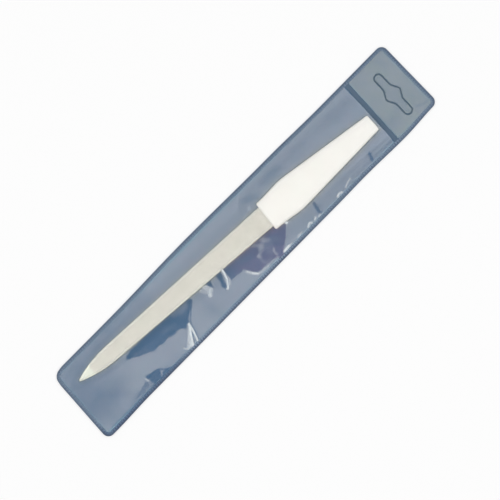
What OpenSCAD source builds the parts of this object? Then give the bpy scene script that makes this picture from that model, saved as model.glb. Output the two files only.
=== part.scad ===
// Metal nail file lying in a flat vinyl sleeve with a hang tab.
// Millimetres. The origin is the centre of the sleeve's underside, +X points to the hang tab, +Z is up.

/* [File blade] */
// Length of the coated blade, from its point to the handle
blade_len = 113; // [100:1:125]
// Width of the blade at the handle
blade_w = 10.8; // [9:0.1:12]
// Width of the blade where its pointed end begins
blade_nose_w = 7.9; // [6.5:0.1:9]
// Length of the curved pointed end
nose_len = 20; // [16:0.5:26]
// Radius of the two curves that meet in the point
nose_r = 58; // [52:1:66]
// Thickness of the steel blank
blade_t = 1; // [0.8:0.05:1.4]
// Width of the ground bevel along each edge
bevel_w = 0.9; // [0.4:0.05:1.3]
// Depth of the bevel in the steel
bevel_h = 0.22; // [0.1:0.01:0.3]
// Length of the bare tip that cleans under a nail
bare_tip = 7; // [5:0.5:12]
// Thickness of each abrasive coat
grit_t = 0.12; // [0.06:0.01:0.2]

/* [File handle] */
// Length of the handle
handle_len = 65; // [55:1:75]
// Width of the handle at its front edge
handle_front_w = 14.8; // [13.6:0.1:16]
// Width of the handle at its widest place
handle_w = 17.3; // [16.2:0.1:18.5]
// Width of the handle at its butt
handle_butt_w = 8.4; // [7.4:0.1:10]
// Distance from the front edge to the widest place
belly_at = 14.6; // [11:0.2:19]
// Thickness at the front edge
handle_front_t = 4.2; // [3.6:0.1:4.8]
// Thickness at the widest place
handle_t = 5; // [4.6:0.1:5.8]
// Thickness at the butt
handle_butt_t = 3.6; // [3.2:0.1:4.4]
// Radius of the handle's end edges
end_round = 0.7; // [0.3:0.1:1.2]
// Angle by which the front edge is off square, in degrees
front_skew = 3; // [0:0.5:4]
// Depth that the blade's full width sits inside the handle
seat_depth = 1.6; // [1.2:0.1:3]
// Width of the tang
tang_w = 5.6; // [4:0.1:6.6]
// Length of the tang behind the seated blade
tang_len = 42; // [30:1:50]
// Gap between the tang and the plastic round it
tang_fit = 0.05; // [0.02:0.01:0.1]

/* [Sleeve films] */
// Width of the sleeve
sleeve_w = 38; // [36:0.5:44]
// Thickness of each film
film_t = 0.2; // [0.15:0.01:0.3]
// Radius of the sleeve's corners
corner_r = 3.2; // [2.4:0.1:5]
// Lean of the tip end, in degrees
tip_end_skew = 4.2; // [0:0.2:5]
// Lean of the tab end, in degrees
tab_end_skew = 1.3; // [0:0.1:3]
// Length of the tab beyond the cross weld
tab_len = 24.2; // [20:0.2:30]
// Free length in front of the file's point
tip_room = 9.8; // [7:0.2:16]

/* [Welds] */
// Width of the edge weld
weld_w = 1.8; // [1.2:0.1:2.2]
// Height of the edge weld above the back film, in its valleys
weld_h = 0.13; // [0.08:0.01:0.16]
// Height of the knurl ridges on the edge weld
rib_h = 0.1; // [0.04:0.01:0.12]
// Pitch of the knurl ridges
rib_pitch = 1.33; // [1:0.01:2]
// Width of the cross weld
cross_w = 2.4; // [1.8:0.1:3.2]
// Height of the cross weld above the back film
cross_h = 0.18; // [0.1:0.01:0.22]
// Lean of the cross weld and the mouth, in degrees
cross_skew = 3.2; // [0:0.2:5]
// Width of the slit between the mouth's cut edge and the cross weld
slit_w = 0.8; // [0.4:0.1:2]

/* [Hang slot] */
// Length of the hang slot, between the middles of its tear line
slot_len = 23.6; // [20:0.2:26]
// Width of the slot's arms
slot_arm_w = 4; // [3:0.1:5]
// Width of the bulge in the middle
slot_bulge_w = 8.1; // [7:0.1:10]
// Radius of the bulge's sides
slot_bulge_r = 1.8; // [1:0.1:2.4]
// Radius of the hollow corners between the arms and the bulge
slot_hollow_r = 2; // [1.2:0.1:3]
// Slope of the bulge's flanks, in degrees
slot_flank = 30; // [24:1:40]
// Width of the pressed tear line
slot_line_w = 0.8; // [0.4:0.05:1]
// Thickness left in the tear line
slot_line_t = 0.3; // [0.15:0.01:0.36]
// Tear gap round the plug
tear_gap = 0.05; // [0.02:0.01:0.15]
// Distance from the cross weld to the middle of the slot
slot_at = 11.7; // [9:0.1:14]
// Sideways place of the slot's middle
slot_y = -1.5; // [-3:0.1:3]
// Lean of the slot, in degrees
slot_skew = 2; // [0:0.2:4]

/* [File in the sleeve] */
// Angle between the file and the sleeve, in degrees
file_turn = 4.05; // [2:0.05:5]
// Sideways place of the file's point
tip_y = 8.6; // [6:0.1:10]
// Gap between the file's lowest places and the back film
rest_gap = 0.3; // [0.3:0.05:0.6]
// Gap between the front film and the file's whole path
film_gap = 0.3; // [0.3:0.05:0.6]
// Distance from the butt to the mouth's cut edge
mouth_lap = 0.8; // [0.4:0.1:3]
// How far the film slopes down beside the file, for each millimetre of height
drape = 1.7; // [1.2:0.1:2.2]
// Length of the film's ramp up to the handle
ramp_len = 9; // [6:0.5:14]
// Length at the ramp's top where the film is level again before the handle
ramp_rest = 2; // [1:0.1:3]
// Length of the film's slope in front of the file's point
nose_run = 6; // [4:0.5:6.8]
// Length in front of the point where the film is at its full height
nose_rest = 1; // [0.6:0.1:1.6]
// Shortest slope of the film, where it lies low
least_run = 1; // [0.6:0.1:1.5]

/* [Hidden] */
hair = 0.01;
ring_sides = 28;
arc_steps = 10;
soft_power = 0.66;
crown_lift = 1.04;

file_len = blade_len + handle_len;
belly_s = blade_len + belly_at;
seat_s = blade_len + seat_depth;
core_t = blade_t / 2 + grit_t;

// The file rests on its coat behind the bare tip and on the handle's belly, so it leans a little
pitch = atan((handle_t / 2 - core_t) / (belly_s - bare_tip));
tip_z = film_t + rest_gap + core_t - bare_tip * tan(pitch);

// Places along the sleeve, from its tip end to its tab end
butt_run = file_len * cos(pitch) * cos(file_turn);
sleeve_len = tip_room + butt_run + mouth_lap + slit_w + cross_w + tab_len;
tip_x = tip_room - sleeve_len / 2;
mouth_x = tip_x + butt_run + mouth_lap;
cross_x = mouth_x + slit_w;
tab_x = cross_x + cross_w;
inner_w = sleeve_w - 2 * weld_w;
inner_r = corner_r - weld_w;
front_z = film_t;

file_dir = [cos(file_turn), -sin(file_turn)];
tip_at = [tip_x, tip_y];

// Corner centres of the sleeve, anticlockwise from the tip end's lower corner
side_run = sleeve_w - 2 * corner_r;
corners = [
    [corner_r - sleeve_len / 2, -side_run / 2],
    [sleeve_len / 2 - corner_r - side_run * tan(tab_end_skew), -side_run / 2],
    [sleeve_len / 2 - corner_r, side_run / 2],
    [corner_r - sleeve_len / 2 + side_run * tan(tip_end_skew), side_run / 2]
];

function outward(a, b) = [b.y - a.y, a.x - b.x] / norm(b - a);
function smooth(t) = let (q = min(max(t, 0), 1)) q * q * (3 - 2 * q);
function blend(a, b, t) = a + (b - a) * t;

// Half width of the blade at a distance s from its point: two curves, then a straight taper
function taper_half(s) = blend(blade_nose_w, blade_w, (s - nose_len) / (blade_len - nose_len)) / 2;
function blade_half(s) = s < nose_len
    ? taper_half(nose_len) - nose_r + sqrt(nose_r * nose_r - pow(nose_len - s, 2))
    : taper_half(s);

// Half width and half thickness of the handle at a distance s from the file's point
function belly_curve(s) = smooth((s - blade_len) / belly_at * 0.5) * 2;
function handle_half(s) = s < belly_s
    ? blend(handle_front_w, handle_w, min(belly_curve(s), 1)) / 2
    : blend(handle_w, handle_butt_w, (s - belly_s) / (handle_len - belly_at)) / 2;
function handle_rise(s) = s < belly_s
    ? blend(handle_front_t, handle_t, min(belly_curve(s), 1)) / 2
    : blend(handle_t, handle_butt_t, smooth((s - belly_s) / (handle_len - belly_at))) / 2;

module in_file_frame() {
    translate([tip_x, tip_y, tip_z]) rotate([0, -pitch, -file_turn]) children();
}

// Outline of a blade or coat between two stations, drawn in from the blade's edge
module blade_outline(s0, s1, inset) {
    steps = 26;
    stations = [for (i = [0:steps]) s0 + (s1 - s0) * pow(i / steps, 1.6)];
    sides = [for (s = stations) [s, max(blade_half(s) - inset, hair)]];
    polygon(concat(sides, [for (i = [steps:-1:0]) [sides[i].x, -sides[i].y]]));
}

module blade() {
    color([0.86, 0.86, 0.83]) in_file_frame() {
        hull() {
            translate([0, 0, bevel_h - blade_t / 2]) linear_extrude(blade_t - 2 * bevel_h)
                blade_outline(0, seat_s, 0);
            translate([0, 0, -blade_t / 2]) linear_extrude(blade_t) blade_outline(bevel_w, seat_s, bevel_w);
        }
        translate([seat_s - hair, -tang_w / 2, -blade_t / 2]) cube([tang_len + hair, tang_w, blade_t]);
    }
}

module grit_coat() {
    linear_extrude(grit_t) blade_outline(bare_tip, blade_len + seat_depth / 2, bevel_w);
}

module front_grit() {
    color([0.87, 0.85, 0.8]) in_file_frame() translate([0, 0, blade_t / 2]) grit_coat();
}

module back_grit() {
    color([0.82, 0.8, 0.75]) in_file_frame() translate([0, 0, -blade_t / 2 - grit_t]) grit_coat();
}

// One ring of the handle: a soft-cornered section, drawn in by the end rounding, with the front edge's skew
function soft(c) = sign(c) * pow(abs(c), soft_power);
function handle_ring(s, inset) =
    let (half = handle_half(s) - inset, rise = handle_rise(s) - inset)
    let (lean = tan(front_skew) * (1 - smooth((s - blade_len) / belly_at)))
    [for (i = [0:ring_sides - 1]) let (a = i * 360 / ring_sides)
        [s + lean * half * soft(cos(a)), half * soft(cos(a)), rise * soft(sin(a))]];

module handle_body() {
    sides = ring_sides;
    rounds = [[0, 1], [0.3, 0.3], [1, 0]];
    middle = [for (i = [1:5]) blade_len + end_round + (belly_at - end_round) * i / 5];
    tail = [for (i = [1:6]) belly_s + (handle_len - belly_at - end_round) * i / 6];
    rings = concat(
        [for (r = rounds) handle_ring(blade_len + end_round * r[0], end_round * r[1])],
        [for (s = middle) handle_ring(s, 0)],
        [for (s = tail) handle_ring(s, 0)],
        [for (i = [1:-1:0]) handle_ring(file_len - end_round * rounds[i][0], end_round * rounds[i][1])]
    );
    count = len(rings);
    polyhedron(
        points = [for (ring = rings) each ring],
        faces = concat(
            [[for (i = [0:sides - 1]) i]],
            [for (k = [0:count - 2], i = [0:sides - 1])
                let (a = k * sides + i, b = k * sides + (i + 1) % sides) [a, a + sides, b]],
            [for (k = [0:count - 2], i = [0:sides - 1])
                let (a = k * sides + i, b = k * sides + (i + 1) % sides) [b, a + sides, b + sides]],
            [[for (i = [sides - 1:-1:0]) (count - 1) * sides + i]]
        )
    );
}

module handle() {
    mouth_w = 2 * blade_half(seat_s) + 2 * tang_fit;
    mouth_t = 2 * core_t + 2 * tang_fit;
    slot_w = tang_w + 2 * tang_fit;
    slot_t = blade_t + 2 * tang_fit;
    color([0.98, 0.97, 0.94]) in_file_frame() difference() {
        handle_body();
        translate([blade_len - seat_depth, -mouth_w / 2, -mouth_t / 2])
            cube([2 * seat_depth, mouth_w, mouth_t]);
        translate([seat_s - hair, -slot_w / 2, -slot_t / 2])
            cube([tang_len + tang_fit + hair, slot_w, slot_t]);
    }
}

// Points of an arc about c, from heading a0 to a1
function arc(c, r, a0, a1) =
    [for (k = [0:arc_steps]) let (a = a0 + (a1 - a0) * k / arc_steps) c + r * [cos(a), sin(a)]];

// Outline of the sleeve, drawn in from its edge: a round corner about each corner centre
module sleeve_outline(inset) {
    facing = [for (i = [0:3]) let (side = corners[(i + 1) % 4] - corners[i]) atan2(side.y, side.x) - 90];
    polygon([for (i = [0:3]) let (start = facing[(i + 3) % 4], bend = (facing[i] - start + 360) % 360)
        each arc(corners[i], corner_r - inset, start, start + bend)]);
}

// Outline of the hang slot's tear line, grown or shrunk from its middle
module slot_outline(grow) {
    half = slot_arm_w / 2 + grow;
    bulge_r = slot_bulge_r + grow;
    hollow_r = slot_hollow_r - grow;
    arm_end = [0, (slot_len - slot_arm_w) / 2];
    bulge = [slot_bulge_w / 2 - slot_bulge_r, 0];
    flank = bulge.x * cos(slot_flank) + bulge_r;
    hollow_x = half + hollow_r;
    hollow = [hollow_x, (flank + hollow_r - hollow_x * cos(slot_flank)) / sin(slot_flank)];
    right = concat(
        arc(arm_end, half, 90, 0),
        arc(hollow, hollow_r, 180, 180 + slot_flank),
        arc(bulge, bulge_r, slot_flank, -slot_flank),
        arc([hollow.x, -hollow.y], hollow_r, 180 - slot_flank, 180),
        arc(-arm_end, half, 0, -90)
    );
    left = [for (k = [len(right) - 2:-1:1]) [-right[k].x, right[k].y]];
    translate([tab_x + slot_at, slot_y]) rotate(-slot_skew) polygon(concat(right, left));
}

// Strip across the sleeve between two places, leaning like the cross weld
module cross_strip(x0, x1, half) {
    lean = half * tan(cross_skew);
    polygon([[x0 - lean, -half], [x1 - lean, -half], [x1 + lean, half], [x0 + lean, half]]);
}

module back_film() {
    color([0.24, 0.36, 0.52]) linear_extrude(film_t) difference() {
        sleeve_outline(0);
        slot_outline(slot_line_w / 2);
    }
}

// Where a line across the pocket, through a and along e, meets the inside of the edge weld on one side
function rim_reach(a, e, side) =
    let (flat = (side * inner_w / 2 - a.y) / e.y, p = a + flat * e)
    let (c = side < 0 ? corners[0] : corners[3], w = a - c, b = w * e)
    p.x > c.x - hair ? flat
        : -b + side * sqrt(max(b * b - w * w + inner_r * inner_r, 0));

// The file's path as the front film has to clear it: its widest and highest section so far
function path_half(s) =
    s < 0 ? blade_half(0) + film_gap
    : s < blade_len - ramp_len ? blade_half(s) + film_gap
    : s < blade_len ? film_gap
        + blend(blade_half(s), handle_front_w / 2, smooth((s - blade_len + ramp_len) / (ramp_len - ramp_rest)))
    : handle_half(min(s, belly_s)) + film_gap;
function path_top(s) =
    s < blade_len - ramp_len ? core_t
    : s < blade_len ? blend(core_t, handle_front_t / 2, smooth((s - blade_len + ramp_len) / (ramp_len - ramp_rest)))
    : handle_rise(min(s, belly_s));
function nose_lift(s) = smooth((s + nose_run) / (nose_run - nose_rest));
function film_lift(s) = (tip_z + s * tan(pitch) + path_top(s) + film_gap - front_z) * nose_lift(s);

// Stations of the pocket film along the file, from the tip end's weld to the mouth
tip_edge_dir = [sin(tip_end_skew), cos(tip_end_skew)];
tip_edge_out = [-cos(tip_end_skew), sin(tip_end_skew)];
mouth_out = [cos(cross_skew), -sin(cross_skew)];
s_first = ((corners[0] + inner_r * tip_edge_out - tip_at) * tip_edge_out) / (file_dir * tip_edge_out);
s_last = (([mouth_x, 0] - tip_at) * mouth_out) / (file_dir * mouth_out);
film_stations = concat(
    [for (q = [0, 0.15, 0.4, 0.7, 1]) s_first + inner_r * q],
    [for (q = [0:4]) blend(-nose_run, 0, q / 4)],
    [for (q = [0.2, 0.4, 0.6, 1]) nose_len * q],
    [for (q = [1:5]) blend(nose_len, blade_len - ramp_len, q / 5)],
    [for (q = [1:5]) blend(blade_len - ramp_len, blade_len - ramp_rest, q / 5)],
    [for (q = [0:4]) blend(blade_len, belly_s, q / 4)],
    [for (q = [1:4]) blend(belly_s, s_last, q / 4)]
);

// Heights across one station: down the lower slope, over the file and down the upper slope
fall = [0, 0.12, 0.3, 0.5, 0.7, 0.88, 1];
function film_row(s) =
    let (lean = s < 0 ? blend(tip_end_skew, file_turn, (s - s_first) / -s_first)
        : blend(file_turn, cross_skew, max(s - belly_s, 0) / (s_last - belly_s)))
    let (e = [sin(lean), cos(lean)], a = tip_at + s * file_dir, half = path_half(s), lift = film_lift(s))
    let (low = rim_reach(a, e, -1), high = rim_reach(a, e, 1))
    let (run = max(drape * lift, least_run), low_run = min(-low - half, run), high_run = min(high - half, run))
    concat(
        [concat(a + low * e, 0)],
        [for (i = [len(fall) - 1:-1:0])
            concat(a - (half + low_run * fall[i]) * e, lift * (1 - smooth(fall[i])))],
        [concat(a, lift * crown_lift)],
        [for (q = fall) concat(a + (half + high_run * q) * e, lift * (1 - smooth(q)))],
        [concat(a + high * e, 0)]
    );

module pocket_front_film() {
    rows = [for (s = film_stations) film_row(s)];
    wide = len(rows[0]);
    long = len(rows);
    under = [for (row = rows) each [for (p = row) [p.x, p.y, front_z + p.z]]];
    over = [for (p = under) [p.x, p.y, p.z + film_t]];
    n = len(under);
    function at(i, j) = i * wide + j;
    color([0.62, 0.68, 0.76, 0.45]) polyhedron(
        points = concat(under, over),
        faces = concat(
            [for (i = [0:long - 2], j = [0:wide - 2]) [at(i, j), at(i, j + 1), at(i + 1, j)]],
            [for (i = [0:long - 2], j = [0:wide - 2]) [at(i, j + 1), at(i + 1, j + 1), at(i + 1, j)]],
            [for (i = [0:long - 2], j = [0:wide - 2]) [n + at(i, j), n + at(i + 1, j), n + at(i, j + 1)]],
            [for (i = [0:long - 2], j = [0:wide - 2])
                [n + at(i, j + 1), n + at(i + 1, j), n + at(i + 1, j + 1)]],
            [for (i = [0:long - 2]) [at(i, 0), at(i + 1, 0), n + at(i + 1, 0), n + at(i, 0)]],
            [for (i = [0:long - 2]) let (a = at(i, wide - 1), b = at(i + 1, wide - 1)) [b, a, n + a, n + b]],
            [for (j = [0:wide - 2]) [at(0, j + 1), at(0, j), n + at(0, j), n + at(0, j + 1)]],
            [for (j = [0:wide - 2]) let (a = at(long - 1, j), b = at(long - 1, j + 1)) [a, b, n + b, n + a]]
        )
    );
}

module tab_front_film() {
    color([0.56, 0.61, 0.66]) translate([0, 0, front_z]) linear_extrude(film_t) difference() {
        intersection() {
            sleeve_outline(weld_w);
            cross_strip(tab_x, sleeve_len, sleeve_w / 2);
        }
        slot_outline(slot_line_w / 2);
    }
}

// A row of knurl ridges along X from the origin, with its base
module rib_row(run) {
    count = floor(run / rib_pitch);
    start = (run - count * rib_pitch) / 2;
    crest = weld_h + rib_h;
    translate([0, weld_w / 2, 0]) rotate([90, 0, 0]) linear_extrude(weld_w) polygon(concat(
        [[0, 0], [0, weld_h]],
        [for (i = [0:count - 1]) let (x = start + i * rib_pitch, q = rib_pitch / 4)
            each [[x, weld_h], [x + q, crest], [x + 2 * q, crest], [x + 3 * q, weld_h]]],
        [[run, weld_h], [run, 0]]
    ));
}

module edge_weld() {
    color([0.24, 0.38, 0.56]) translate([0, 0, front_z]) {
        linear_extrude(weld_h - 2 * hair) difference() {
            sleeve_outline(0);
            sleeve_outline(weld_w);
        }
        for (i = [0:3]) {
            a = corners[i];
            side = corners[(i + 1) % 4] - a;
            translate(a + (corner_r - weld_w / 2) * outward(a, a + side))
                rotate(atan2(side.y, side.x)) rib_row(norm(side));
        }
    }
}

module cross_weld() {
    color([0.25, 0.36, 0.52]) translate([0, 0, front_z]) linear_extrude(cross_h)
        cross_strip(cross_x, tab_x, inner_w / 2);
}

module slot_weld() {
    color([0.3, 0.38, 0.46]) linear_extrude(slot_line_t) difference() {
        slot_outline(slot_line_w / 2);
        slot_outline(-slot_line_w / 2);
    }
}

module slot_plug() {
    linear_extrude(film_t) slot_outline(-slot_line_w / 2 - tear_gap);
}

module slot_plug_front() {
    color([0.56, 0.61, 0.66]) translate([0, 0, front_z]) slot_plug();
}

module slot_plug_back() {
    color([0.24, 0.36, 0.52]) slot_plug();
}

blade();
front_grit();
back_grit();
handle();
back_film();
pocket_front_film();
tab_front_film();
edge_weld();
cross_weld();
slot_weld();
slot_plug_front();
slot_plug_back();
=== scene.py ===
from math import atan2, copysign, cos, hypot, pi, radians, sin, sqrt, tan

import bmesh
import bpy
from mathutils import Matrix, Vector, noise


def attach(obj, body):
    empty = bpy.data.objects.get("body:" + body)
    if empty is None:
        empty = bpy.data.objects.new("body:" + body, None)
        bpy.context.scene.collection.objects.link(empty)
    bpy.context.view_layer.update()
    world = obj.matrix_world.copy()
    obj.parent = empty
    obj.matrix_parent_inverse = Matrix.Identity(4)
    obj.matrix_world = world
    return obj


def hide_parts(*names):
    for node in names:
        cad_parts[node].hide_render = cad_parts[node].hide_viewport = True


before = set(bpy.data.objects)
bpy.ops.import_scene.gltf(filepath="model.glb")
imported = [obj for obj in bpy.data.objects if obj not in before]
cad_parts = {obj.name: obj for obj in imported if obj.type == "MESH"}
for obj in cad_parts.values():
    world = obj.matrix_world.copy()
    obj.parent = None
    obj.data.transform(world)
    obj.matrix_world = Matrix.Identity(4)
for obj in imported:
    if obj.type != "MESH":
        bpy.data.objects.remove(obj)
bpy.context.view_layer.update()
mm = 0.001  # shapes are worked out in millimetres and scaled once, in finishPiece
print("frame loaded:", len(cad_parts), "nodes")

# sizes that several pieces share, as in the construction
sleeve = {
    "length": 215.534,
    "width": 38.0,
    "film": 0.2,
    "corner": 3.2,
    "tipSkew": radians(4.2),
    "tabSkew": radians(1.3),
    "weld": 1.8,
    "crossSkew": radians(3.2),
    "mouthX": 80.367,
    "crossX": 81.167,
    "tabX": 83.567,
    "slotCentre": (95.267, -1.5),
    "slotSkew": radians(-2.0),
    "slotLine": 0.8,
    "airGap": 0.02,  # keeps the clear film's underside off the blue film
}
innerHalf = sleeve["width"] / 2 - sleeve["weld"]
innerCorner = sleeve["corner"] - sleeve["weld"]
crossLean = tan(sleeve["crossSkew"])
clearBase = sleeve["film"] + sleeve["airGap"]

nailFile = {
    "tip": (-97.967, 8.6, 1.011),
    "turn": radians(-4.05),
    "pitch": radians(-0.893),
    "bladeLen": 113.0,
    "handleLen": 65.0,
    "bladeW": 10.8,
    "noseW": 7.9,
    "noseLen": 20.0,
    "noseR": 58.0,
    "bladeT": 1.0,
    "bevelW": 0.9,
    "bevelH": 0.22,
    "bareTip": 7.5,
    "gritT": 0.12,
    "seat": 1.6,
    "tangW": 5.6,
    "tangLen": 42.0,
    "frontW": 14.8,
    "bellyW": 17.3,
    "buttW": 8.4,
    "frontT": 4.2,
    "bellyT": 5.0,
    "buttT": 3.6,
    "bellyAt": 14.6,
    "round": 0.7,
    "frontSkew": radians(3.0),
}
fileLength = nailFile["bladeLen"] + nailFile["handleLen"]
bellyPlace = nailFile["bladeLen"] + nailFile["bellyAt"]
tipPlace = Vector(nailFile["tip"][:2])
fileFrame = (
    Matrix.Translation(nailFile["tip"])
    @ Matrix.Rotation(nailFile["turn"], 4, "Z")
    @ Matrix.Rotation(nailFile["pitch"], 4, "Y")
)
fileDir = Vector((cos(nailFile["turn"]), sin(nailFile["turn"])))
fileSide = Vector((-fileDir.y, fileDir.x))


def smooth(t):
    q = min(max(t, 0.0), 1.0)
    return q * q * (3 - 2 * q)


def blend(a, b, t):
    return a + (b - a) * t


def knotCurve(knots, x):  # soft curve through (x, value) knots
    if x <= knots[0][0]:
        return knots[0][1]
    for (x0, v0), (x1, v1) in zip(knots, knots[1:]):
        if x <= x1:
            return blend(v0, v1, smooth((x - x0) / (x1 - x0)))
    return knots[-1][1]


def mottle(x, y, base, clouds):  # a value with clouds on it: size, scale and layer of each
    return base + sum(size * noise.noise((x * scale, y * scale, layer)) for size, scale, layer in clouds)


def fromTip(x, y):  # a place measured from the sleeve's tip end
    return Vector((x + sleeve["length"] / 2, y))


# how far the limp sleeve's long edges stray, by distance from the tip end
edgeWaves = {
    "upper": [(0, 0.0), (40, -0.1), (87, 0.55), (142, -0.1), (175, -0.7), (216, -0.7)],
    "lower": [(0, -0.5), (6, -0.5), (28, 0.05), (150, 0.1), (167, 0.3), (193, -0.25), (213, 0.6)],
    "start": 10.0,
    "full": 17.2,
    "softCorner": ((2.4, 19.4), 7.0, (0.62, -0.70)),  # the rounder corner: its place, reach and pull
}


def settle(p):  # moves a point of the sleeve as its limp edges lie
    x, y = p[0] + sleeve["length"] / 2, p[1]
    stray = knotCurve(edgeWaves["upper" if y > 0 else "lower"], x)
    share = smooth((abs(y) - edgeWaves["start"]) / (edgeWaves["full"] - edgeWaves["start"]))
    corner, reach, pull = edgeWaves["softCorner"]
    near = 1 - smooth(hypot(x - corner[0], y - corner[1]) / reach)
    return Vector((p[0] + pull[0] * near, y + stray * share + pull[1] * near, p[2]))


# mesh helpers

def makeRing(bm, points):  # a closed ring, from a circle laid on the points
    ring = bmesh.ops.create_circle(bm, segments=len(points), radius=1.0)["verts"]
    for vert, point in zip(ring, points):
        vert.co = point
    return ring


def ringEdges(bm, ring):
    return [bm.edges.get((a, b)) for a, b in zip(ring, ring[1:] + ring[:1])]


def newVerts(made):
    return [g for g in made["geom"] if isinstance(g, bmesh.types.BMVert)]


def extrudeRing(bm, ring, points):  # pulls the ring's edges out to the next points
    fresh = set(newVerts(bmesh.ops.extrude_edge_only(bm, edges=ringEdges(bm, ring))))
    nextRing = []
    for vert in ring:
        nextRing.append(next(e.other_vert(vert) for e in vert.link_edges if e.other_vert(vert) in fresh))
    for vert, point in zip(nextRing, points):
        vert.co = point
    return nextRing


def loftRings(rings, capped=True):
    bm = bmesh.new()
    ring = first = makeRing(bm, rings[0])
    for points in rings[1:]:
        ring = extrudeRing(bm, ring, points)
    if capped:
        for loop in (first, ring):
            bmesh.ops.contextual_create(bm, geom=ringEdges(bm, loop))
    return bm


def thicken(bm, height):  # a flat or draped sheet becomes a closed film, upwards
    lifted = newVerts(bmesh.ops.extrude_face_region(bm, geom=bm.faces[:]))
    bmesh.ops.translate(bm, verts=lifted, vec=(0, 0, height))


def meshFrom(bm, name, material):
    mesh = bpy.data.meshes.new(name)
    bm.to_mesh(mesh)
    bm.free()
    mesh.materials.append(material)
    return mesh


def addObject(name, data):
    made = bpy.data.objects.new(name, data)
    bpy.context.scene.collection.objects.link(made)
    return made


mergeDistance = 0.0005


def finishPiece(bm, name, body, node, material, sharp=40):
    bmesh.ops.remove_doubles(bm, verts=bm.verts, dist=mergeDistance)
    bmesh.ops.recalc_face_normals(bm, faces=bm.faces)
    bmesh.ops.scale(bm, vec=(mm, mm, mm), verts=bm.verts)
    mesh = meshFrom(bm, name, material)
    mesh.shade_smooth()
    mesh.set_sharp_from_angle(angle=radians(sharp))
    piece = addObject(name, mesh)
    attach(piece, body)
    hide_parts(node)
    print(f"{name}: {len(mesh.vertices)} vertices, {len(mesh.polygons)} faces")
    return piece


# outlines of the sleeve

def cornerCentres():
    half, r = sleeve["length"] / 2, sleeve["corner"]
    run = sleeve["width"] - 2 * r
    return [
        Vector((r - half, -run / 2)),
        Vector((half - r - run * tan(sleeve["tabSkew"]), -run / 2)),
        Vector((half - r, run / 2)),
        Vector((r - half + run * tan(sleeve["tipSkew"]), run / 2)),
    ]


knurlSteps = 4  # stations in one pitch of the weld's knurl, the middle two on its crest


def outlineStations(pitch, arcSteps=16):  # (base, outward, on a crest) all round the sleeve
    centres = cornerCentres()
    sides = [b - a for a, b in zip(centres, centres[1:] + centres[:1])]
    facing = [atan2(side.y, side.x) - pi / 2 for side in sides]
    stations = []
    for i, side in enumerate(sides):
        bend = (facing[i] - facing[i - 1]) % (2 * pi)
        count = knurlSteps * int(side.length / pitch)
        places = [(centres[i], facing[i - 1] + bend * k / arcSteps, k) for k in range(arcSteps)]
        places += [(centres[i] + side * k / count, facing[i], k) for k in range(count)]
        for base, angle, k in places:
            stations.append((base, Vector((cos(angle), sin(angle))), k % knurlSteps in (1, 2)))
    return stations


def sleeveRing(stations, inset, z, crest=0.0):
    reach = sleeve["corner"] - inset
    ring = []
    for base, out, onCrest in stations:
        p = base + out * reach
        ring.append(settle((p.x, p.y, z + (crest if onCrest else 0.0))))
    return ring


slotShape = {
    "length": 23.6,
    "armW": 4.0,
    "bulgeW": 8.1,
    "bulgeR": 1.8,
    "hollowR": 2.0,
    "flank": radians(30.0),
    "arcSteps": 12,
}


def arcPoints(centre, radius, a0, a1):
    steps = slotShape["arcSteps"]
    angles = [a0 + (a1 - a0) * k / steps for k in range(steps + 1)]
    return [Vector((centre[0] + radius * cos(a), centre[1] + radius * sin(a))) for a in angles]


def slotRing(grow, z=None):  # outline of the hang slot's tear line, grown or shrunk
    s = slotShape
    half, bulgeR, hollowR = s["armW"] / 2 + grow, s["bulgeR"] + grow, s["hollowR"] - grow
    armEnd = (s["length"] - s["armW"]) / 2
    bulge = s["bulgeW"] / 2 - s["bulgeR"]
    flank = bulge * cos(s["flank"]) + bulgeR
    hollowX = half + hollowR
    hollowY = (flank + hollowR - hollowX * cos(s["flank"])) / sin(s["flank"])
    right = (
        arcPoints((0, armEnd), half, pi / 2, 0)
        + arcPoints((hollowX, hollowY), hollowR, pi, pi + s["flank"])
        + arcPoints((bulge, 0), bulgeR, s["flank"], -s["flank"])
        + arcPoints((hollowX, -hollowY), hollowR, pi - s["flank"], pi)
        + arcPoints((0, -armEnd), half, 0, -pi / 2)
    )
    loop = right + [Vector((-p.x, p.y)) for p in right[-2:0:-1]]
    turn = Matrix.Rotation(sleeve["slotSkew"], 2)
    loop = [turn @ p + Vector(sleeve["slotCentre"]) for p in loop]
    return loop if z is None else [settle((p.x, p.y, z)) for p in loop]


# node helpers

def fillSockets(tree, node, sockets):
    for key, value in sockets.items():
        if isinstance(value, bpy.types.NodeSocket):
            tree.links.new(value, node.inputs[key])
        else:
            node.inputs[key].default_value = value


def addNode(tree, kind, sockets=None, **settings):
    node = tree.nodes.new("ShaderNode" + kind)
    for key, value in settings.items():
        setattr(node, key, value)
    fillSockets(tree, node, sockets or {})
    return node


def mathNode(tree, operation, a, b=0.0, c=0.0, clamp=False):
    return addNode(tree, "Math", {0: a, 1: b, 2: c}, operation=operation, use_clamp=clamp).outputs[0]


def times(tree, a, b, clamp=False):
    return mathNode(tree, "MULTIPLY", a, b, clamp=clamp)


def addShare(tree, total, mask, share):  # total + mask * share
    return mathNode(tree, "MULTIPLY_ADD", mask, share, total)


def mixColour(tree, share, a, b):
    return addNode(tree, "Mix", {0: share, 6: a, 7: b}, data_type="RGBA").outputs[2]


def rangeNode(tree, value, low, high, toLow=0.0, toHigh=1.0):
    sockets = {"Value": value, "From Min": low, "From Max": high, "To Min": toLow, "To Max": toHigh}
    return addNode(tree, "MapRange", sockets).outputs[0]


def maskRange(tree, mask, toLow, toHigh):
    return rangeNode(tree, mask, 0.0, 1.0, toLow, toHigh)


def bumpNormal(tree, height, distance, strength=1.0):
    return addNode(tree, "Bump", {"Height": height, "Distance": distance, "Strength": strength}).outputs[0]


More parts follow.
